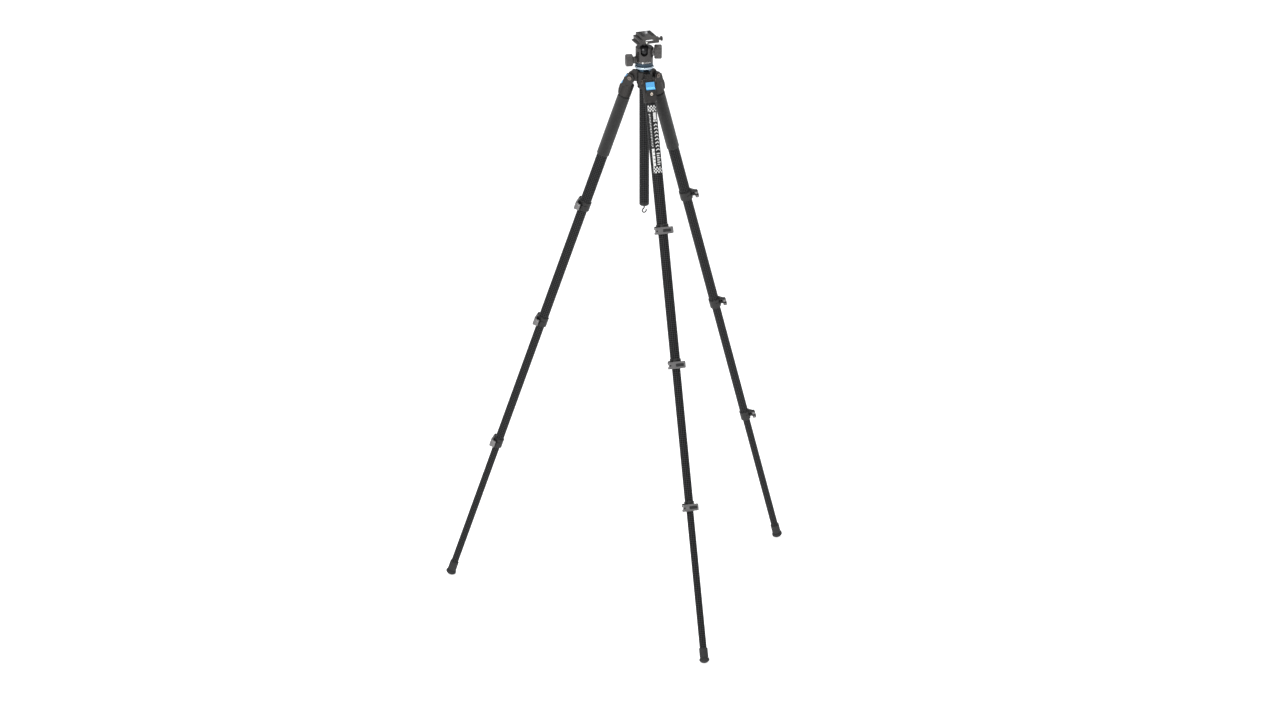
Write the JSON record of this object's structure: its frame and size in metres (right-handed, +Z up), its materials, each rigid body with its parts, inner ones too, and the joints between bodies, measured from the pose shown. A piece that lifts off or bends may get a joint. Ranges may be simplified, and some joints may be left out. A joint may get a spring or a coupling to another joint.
{
  "type": "camera tripod with ball head",
  "caption": "Three-legged telescoping camera stand with flip-lock leg sections, rising centre column with weight hook, and a ball head with quick-release plate.",
  "frame": {"origin": "on the floor, under the centre column's axis, with the legs drawn out and spread", "axes": "+Z up along the centre column, -Y towards the front leg's foot"},
  "size_m": [0.8002, 0.6961, 1.3306],
  "materials": {
    "carbon": "woven carbon fibre under clear satin resin",
    "casting": "warm black satin anodised aluminium",
    "collar": "black satin aluminium",
    "lever": "mid-grey satin anodised aluminium",
    "tab": "light-blue satin anodised aluminium",
    "foam": "closed-cell foam, matt",
    "foot_rubber": "hard black rubber",
    "bolt_steel": "dark plated steel",
    "ring_blue": "pale blue polished anodised aluminium",
    "base_blue": "dark blue anodised aluminium",
    "head": "warm dark-grey anodised aluminium",
    "knob": "dark-grey knurled aluminium",
    "ball_metal": "hard anodised ball",
    "nylon": "white nylon",
    "clamp": "dark-grey anodised aluminium",
    "plate": "grey bead-blasted anodised aluminium",
    "screw_steel": "bright steel",
    "level": "clear level in a pale cup"
  },
  "bodies": {
    "stand": {"spider": "casting", "hinge_bolts": "bolt_steel"},
    "front_leg": {"front_leg_casting": "casting", "front_leg_tube_1": "carbon", "front_lock_collar_1": "collar"},
    "front_stop_tab": {"front_stop_tab": "tab"},
    "front_section_2": {"front_leg_tube_2": "carbon", "front_lock_collar_2": "collar"},
    "front_section_3": {"front_leg_tube_3": "carbon", "front_lock_collar_3": "collar"},
    "front_section_4": {"front_leg_tube_4": "carbon", "front_foot": "foot_rubber"},
    "front_lever_1": {"front_lock_lever_1": "lever"},
    "front_lever_2": {"front_lock_lever_2": "lever"},
    "front_lever_3": {"front_lock_lever_3": "lever"},
    "right_leg": {"right_leg_casting": "casting", "right_leg_tube_1": "carbon", "right_lock_collar_1": "collar", "right_foam_grip": "foam"},
    "right_stop_tab": {"right_stop_tab": "tab"},
    "right_section_2": {"right_leg_tube_2": "carbon", "right_lock_collar_2": "collar"},
    "right_section_3": {"right_leg_tube_3": "carbon", "right_lock_collar_3": "collar"},
    "right_section_4": {"right_leg_tube_4": "carbon", "right_foot": "foot_rubber"},
    "right_lever_1": {"right_lock_lever_1": "lever"},
    "right_lever_2": {"right_lock_lever_2": "lever"},
    "right_lever_3": {"right_lock_lever_3": "lever"},
    "left_leg": {"left_leg_casting": "casting", "left_leg_tube_1": "carbon", "left_lock_collar_1": "collar", "left_foam_grip": "foam"},
    "left_stop_tab": {"left_stop_tab": "tab"},
    "left_section_2": {"left_leg_tube_2": "carbon", "left_lock_collar_2": "collar"},
    "left_section_3": {"left_leg_tube_3": "carbon", "left_lock_collar_3": "collar"},
    "left_section_4": {"left_leg_tube_4": "carbon", "left_foot": "foot_rubber"},
    "left_lever_1": {"left_lock_lever_1": "lever"},
    "left_lever_2": {"left_lock_lever_2": "lever"},
    "left_lever_3": {"left_lock_lever_3": "lever"},
    "column": {"column_tube": "carbon", "column_disc": "ring_blue", "column_cap": "casting", "panning_base": "base_blue"},
    "column_lock": {"column_lock_ring": "casting"},
    "hook": {"weight_hook": "bolt_steel"},
    "housing": {"ball_housing": "head", "ball_seat": "nylon"},
    "ball_clamp": {"ball": "ball_metal", "clamp_body": "clamp", "bubble_level": "level"},
    "jaw": {"clamp_jaw": "clamp"},
    "clamp_knob": {"clamp_knob": "knob"},
    "plate": {"quick_release_plate": "plate"},
    "camera_screw": {"camera_screw": "screw_steel"},
    "ball_knob": {"ball_lock_knob": "knob"},
    "pan_knob": {"pan_lock_knob": "knob"}
  },
  "joints": [
    {"name": "front_leg_hinge", "type": "hinge", "parent": "stand", "child": "front_leg", "pos_m": [0, -0.03, 1.22426], "axis": [-1, 0, 0], "range_deg": [-17, 61]},
    {"name": "front_stop_tab_pull", "type": "slide", "parent": "front_leg", "child": "front_stop_tab", "axis": [0, -0.9455, 0.3256], "range_m": [0, 0.005]},
    {"name": "front_section_2_slide", "type": "slide", "parent": "front_leg", "child": "front_section_2", "axis": [0, 0.3256, 0.9455], "range_m": [0, 0.262]},
    {"name": "front_section_3_slide", "type": "slide", "parent": "front_section_2", "child": "front_section_3", "axis": [0, 0.3256, 0.9455], "range_m": [0, 0.29]},
    {"name": "front_section_4_slide", "type": "slide", "parent": "front_section_3", "child": "front_section_4", "axis": [0, 0.3256, 0.9455], "range_m": [0, 0.304]},
    {"name": "front_lever_1_flip", "type": "hinge", "parent": "front_leg", "child": "front_lever_1", "pos_m": [-0.0198, -0.15088, 0.91899], "axis": [0, -0.3256, -0.9455], "range_deg": [0, 110]},
    {"name": "front_lever_2_flip", "type": "hinge", "parent": "front_section_2", "child": "front_lever_2", "pos_m": [-0.0183, -0.2468, 0.63579], "axis": [0, -0.3256, -0.9455], "range_deg": [0, 110]},
    {"name": "front_lever_3_flip", "type": "hinge", "parent": "front_section_3", "child": "front_lever_3", "pos_m": [-0.0168, -0.34859, 0.33557], "axis": [0, -0.3256, -0.9455], "range_deg": [0, 110]},
    {"name": "right_leg_hinge", "type": "hinge", "parent": "stand", "child": "right_leg", "pos_m": [0.02598, 0.015, 1.22426], "axis": [0.5, -0.866, 0], "range_deg": [-17, 61]},
    {"name": "right_stop_tab_pull", "type": "slide", "parent": "right_leg", "child": "right_stop_tab", "axis": [0.8188, 0.4728, 0.3256], "range_m": [0, 0.005]},
    {"name": "right_section_2_slide", "type": "slide", "parent": "right_leg", "child": "right_section_2", "axis": [-0.282, -0.1628, 0.9455], "range_m": [0, 0.262]},
    {"name": "right_section_3_slide", "type": "slide", "parent": "right_section_2", "child": "right_section_3", "axis": [-0.282, -0.1628, 0.9455], "range_m": [0, 0.29]},
    {"name": "right_section_4_slide", "type": "slide", "parent": "right_section_3", "child": "right_section_4", "axis": [-0.282, -0.1628, 0.9455], "range_m": [0, 0.304]},
    {"name": "right_lever_1_flip", "type": "hinge", "parent": "right_leg", "child": "right_lever_1", "pos_m": [0.14056, 0.05829, 0.91899], "axis": [0.282, 0.1628, -0.9455], "range_deg": [0, 110]},
    {"name": "right_lever_2_flip", "type": "hinge", "parent": "right_section_2", "child": "right_lever_2", "pos_m": [0.22289, 0.10755, 0.63579], "axis": [0.282, 0.1628, -0.9455], "range_deg": [0, 110]},
    {"name": "right_lever_3_flip", "type": "hinge", "parent": "right_section_3", "child": "right_lever_3", "pos_m": [0.31029, 0.15974, 0.33557], "axis": [0.282, 0.1628, -0.9455], "range_deg": [0, 110]},
    {"name": "left_leg_hinge", "type": "hinge", "parent": "stand", "child": "left_leg", "pos_m": [-0.02598, 0.015, 1.22426], "axis": [0.5, 0.866, 0], "range_deg": [-17, 61]},
    {"name": "left_stop_tab_pull", "type": "slide", "parent": "left_leg", "child": "left_stop_tab", "axis": [-0.8188, 0.4728, 0.3256], "range_m": [0, 0.005]},
    {"name": "left_section_2_slide", "type": "slide", "parent": "left_leg", "child": "left_section_2", "axis": [0.282, -0.1628, 0.9455], "range_m": [0, 0.262]},
    {"name": "left_section_3_slide", "type": "slide", "parent": "left_section_2", "child": "left_section_3", "axis": [0.282, -0.1628, 0.9455], "range_m": [0, 0.29]},
    {"name": "left_section_4_slide", "type": "slide", "parent": "left_section_3", "child": "left_section_4", "axis": [0.282, -0.1628, 0.9455], "range_m": [0, 0.304]},
    {"name": "left_lever_1_flip", "type": "hinge", "parent": "left_leg", "child": "left_lever_1", "pos_m": [-0.12076, 0.09259, 0.91899], "axis": [-0.282, 0.1628, -0.9455], "range_deg": [0, 110]},
    {"name": "left_lever_2_flip", "type": "hinge", "parent": "left_section_2", "child": "left_lever_2", "pos_m": [-0.20459, 0.13925, 0.63579], "axis": [-0.282, 0.1628, -0.9455], "range_deg": [0, 110]},
    {"name": "left_lever_3_flip", "type": "hinge", "parent": "left_section_3", "child": "left_lever_3", "pos_m": [-0.29349, 0.18884, 0.33557], "axis": [-0.282, 0.1628, -0.9455], "range_deg": [0, 110]},
    {"name": "column_slide", "type": "slide", "parent": "stand", "child": "column", "axis": [0, 0, 1], "range_m": [0, 0.24]},
    {"name": "column_lock_turn", "type": "hinge", "parent": "stand", "child": "column_lock", "pos_m": [0, 0, 1.20526], "axis": [0, 0, 1], "range_deg": [-90, 0]},
    {"name": "hook_swivel", "type": "hinge", "parent": "column", "child": "hook", "pos_m": [0, 0, 0.92426], "axis": [0, 0, 1], "continuous": true},
    {"name": "housing_pan", "type": "hinge", "parent": "column", "child": "housing", "pos_m": [0, 0, 1.25406], "axis": [0, 0, 1], "continuous": true},
    {"name": "ball_tilt", "type": "hinge", "parent": "housing", "child": "ball_clamp", "pos_m": [0, 0, 1.28656], "axis": [0.9563, -0.2924, 0], "range_deg": [-20, 85]},
    {"name": "ball_knob_turn", "type": "hinge", "parent": "housing", "child": "ball_knob", "pos_m": [0.02869, -0.00877, 1.28406], "axis": [0.9563, -0.2924, 0], "range_deg": [0, 270]},
    {"name": "pan_knob_turn", "type": "hinge", "parent": "housing", "child": "pan_knob", "pos_m": [-0.02963, 0.00469, 1.26556], "axis": [-0.9877, 0.1564, 0], "range_deg": [0, 270]},
    {"name": "clamp_knob_turn", "type": "hinge", "parent": "jaw", "child": "clamp_knob", "pos_m": [0.03445, 0.00181, 1.31016], "axis": [0.9986, 0.0523, 0], "range_deg": [0, 1080]},
    {"name": "jaw_slide", "type": "slide", "parent": "ball_clamp", "child": "jaw", "axis": [0.9986, 0.0523, 0], "range_m": [0, 0.003]},
    {"name": "plate_slide", "type": "slide", "parent": "ball_clamp", "child": "plate", "axis": [-0.0523, 0.9986, 0], "range_m": [-0.02, 0.02]},
    {"name": "camera_screw_turn", "type": "hinge", "parent": "plate", "child": "camera_screw", "pos_m": [0.00449, 0.00024, 1.32506], "axis": [0, 0, 1], "continuous": true}
  ],
  "couplings": [
    {"joint": "clamp_knob_turn", "follows": "jaw_slide", "rad_per_m": 6283.2}
  ]
}
